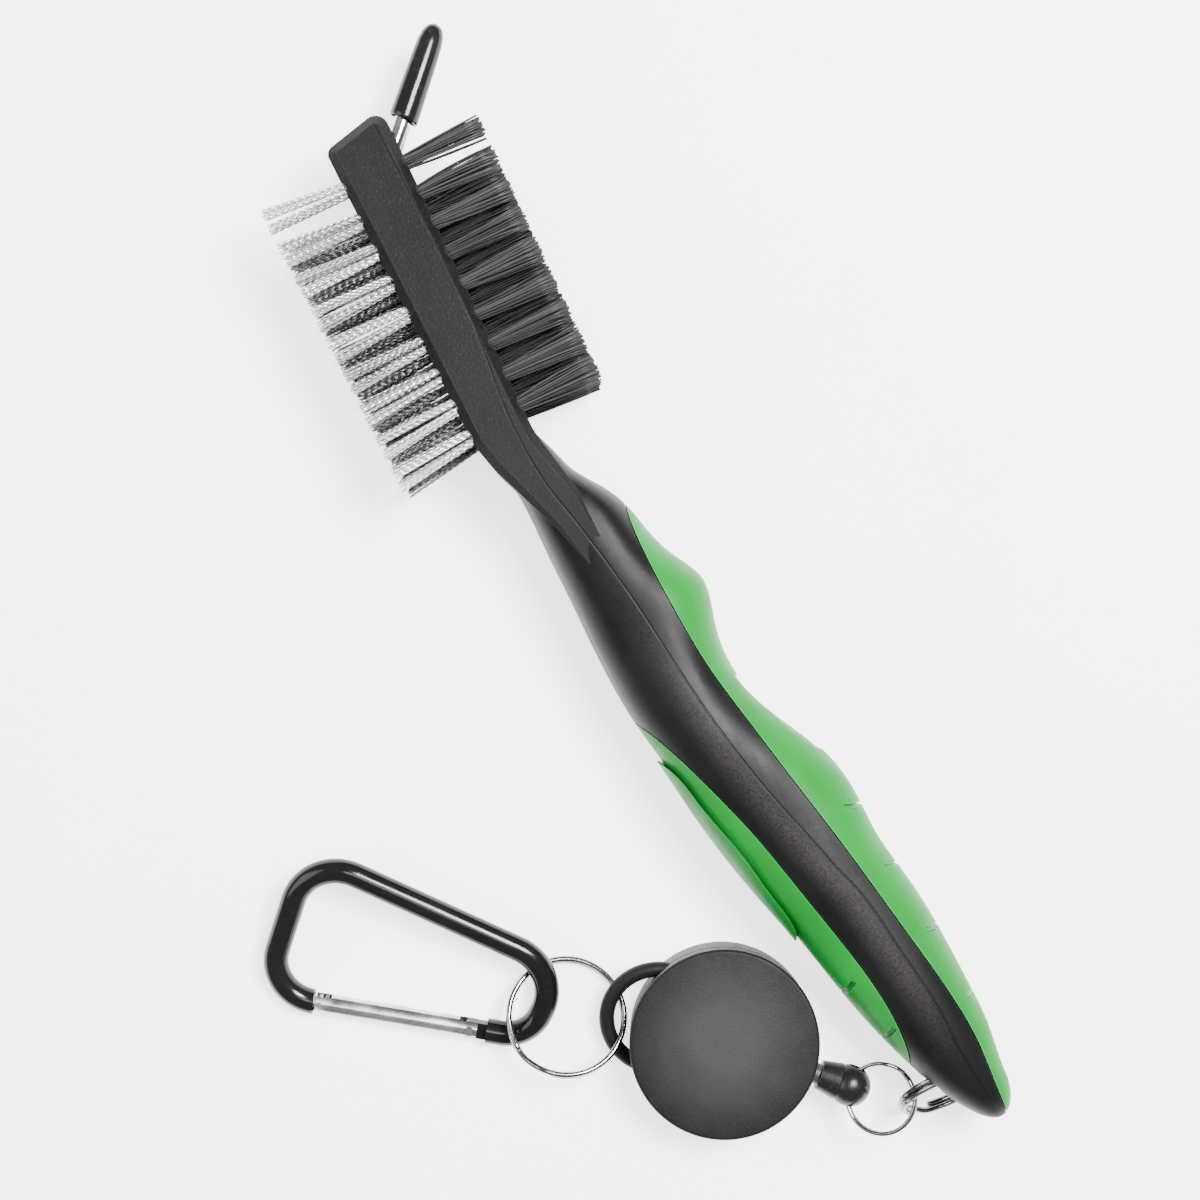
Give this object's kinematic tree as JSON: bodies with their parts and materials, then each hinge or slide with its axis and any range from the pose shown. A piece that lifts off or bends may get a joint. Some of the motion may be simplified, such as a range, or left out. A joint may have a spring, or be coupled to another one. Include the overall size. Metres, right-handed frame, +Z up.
{
  "type": "club groove brush",
  "caption": "Two-sided golf club brush with nylon and wire tufts, a folding groove spike, soft grips and a retractable reel on a split ring and carabiner.",
  "frame": {"origin": "under the middle of the bounding box, on the surface that the object lies on", "axes": "+Y from the tail to the tip of the head, +X towards the nylon side, +Z up through the thickness of the brush lying on its side"},
  "size_m": [0.1108, 0.2052, 0.024],
  "materials": {
    "core_plastic": "satin, fine spark-eroded grain",
    "grip_rubber": "satin",
    "nylon": "satin",
    "wire_steel": "bright crimped wire",
    "staple_steel": "plain",
    "pin_steel": "polished",
    "spike_steel": "polished",
    "cap_vinyl": "gloss",
    "ring_steel": "polished",
    "boot_plastic": "semi-gloss",
    "cord_nylon": "braided",
    "reel_plastic": "matte, fine grain",
    "nozzle_plastic": "satin",
    "spool_plastic": "satin",
    "spring_steel": "blued",
    "black_aluminium": "gloss anodised",
    "gate_aluminium": "bright"
  },
  "bodies": {
    "brush": {"head_and_handle_core": "core_plastic", "grip_nylon_side": "grip_rubber", "grip_wire_side": "grip_rubber", "nylon_tufts_1": "nylon", "nylon_tufts_2": "nylon", "nylon_tufts_3": "nylon", "nylon_tufts_4": "nylon", "wire_tufts_1": "wire_steel", "wire_tufts_2": "wire_steel", "wire_tufts_3": "wire_steel", "wire_tufts_4": "wire_steel", "nylon_anchors": "staple_steel", "wire_anchors": "staple_steel", "spike_pivot_pin": "pin_steel"},
    "spike": {"spike": "spike_steel"},
    "spike_cap": {"spike_cap": "cap_vinyl"},
    "tail_ring": {"tail_ring": "ring_steel"},
    "link_ring": {"link_ring": "ring_steel"},
    "cord_end": {"cord_end_boot": "boot_plastic", "cord_end_crimp": "pin_steel", "cord_lead": "cord_nylon"},
    "reel": {"reel_front_cover": "reel_plastic", "reel_back_cover": "reel_plastic", "reel_nozzle": "nozzle_plastic", "reel_axle": "pin_steel"},
    "spool": {"reel_spool": "spool_plastic", "cord_wound": "cord_nylon", "reel_mainspring": "spring_steel"},
    "key_ring": {"key_ring": "ring_steel"},
    "carabiner": {"carabiner_body": "black_aluminium", "gate_hinge_pin": "pin_steel"},
    "gate": {"carabiner_gate": "gate_aluminium", "gate_latch_pin": "pin_steel", "gate_spring": "spring_steel"}
  },
  "joints": [
    {"name": "spike_fold", "type": "hinge", "parent": "brush", "child": "spike", "pos_m": [0.03646, 0.08658, 0.012], "axis": [0, 0, 1], "range_deg": [-135, 0]},
    {"name": "spike_cap_pull", "type": "slide", "parent": "spike", "child": "spike_cap", "axis": [0.7738, 0.6334, 0], "range_m": [0, 0.03]},
    {"name": "tail_ring_swing", "type": "hinge", "parent": "brush", "child": "tail_ring", "pos_m": [0.03773, -0.09397, 0.0124], "axis": [0.9851, -0.172, 0], "range_deg": [-8, 10]},
    {"name": "link_ring_swing", "type": "hinge", "parent": "tail_ring", "child": "link_ring", "pos_m": [0.02554, -0.09438, 0.0076], "axis": [0.0826, 0.4731, 0.8771], "range_deg": [-6, 40]},
    {"name": "cord_end_swing", "type": "hinge", "parent": "link_ring", "child": "cord_end", "pos_m": [0.02329, -0.091, 0.00907], "axis": [-0.2332, 0.2932, 0.9272], "range_deg": [-2, 40]},
    {"name": "cord_pull", "type": "slide", "parent": "cord_end", "child": "reel", "axis": [-0.6225, 0.7826, 0], "range_m": [0, 0.6], "stiffness_N_per_m": 0.5, "springref_m": -0.6},
    {"name": "spool_turn", "type": "hinge", "parent": "reel", "child": "spool", "pos_m": [0.00579, -0.06899, 0], "axis": [0, 0, 1], "continuous": true},
    {"name": "key_ring_turn", "type": "hinge", "parent": "reel", "child": "key_ring", "pos_m": [-0.01497, -0.05197, 0.00463], "axis": [0.2546, 0.2433, 0.9359], "range_deg": [-20, 20]},
    {"name": "carabiner_swing", "type": "hinge", "parent": "key_ring", "child": "carabiner", "pos_m": [-0.02068, -0.04396, 0.0041], "axis": [0.7739, 0.5291, -0.3481], "range_deg": [-25, 10]},
    {"name": "gate_open", "type": "hinge", "parent": "carabiner", "child": "gate", "pos_m": [-0.03032, -0.04516, 0.00215], "axis": [0.171, 0.1943, -0.9659], "range_deg": [0, 28], "stiffness_Nm_per_rad": 0.02, "springref_deg": -22.92}
  ],
  "couplings": [
    {"joint": "spool_turn", "follows": "cord_pull", "rad_per_m": 98.039}
  ]
}
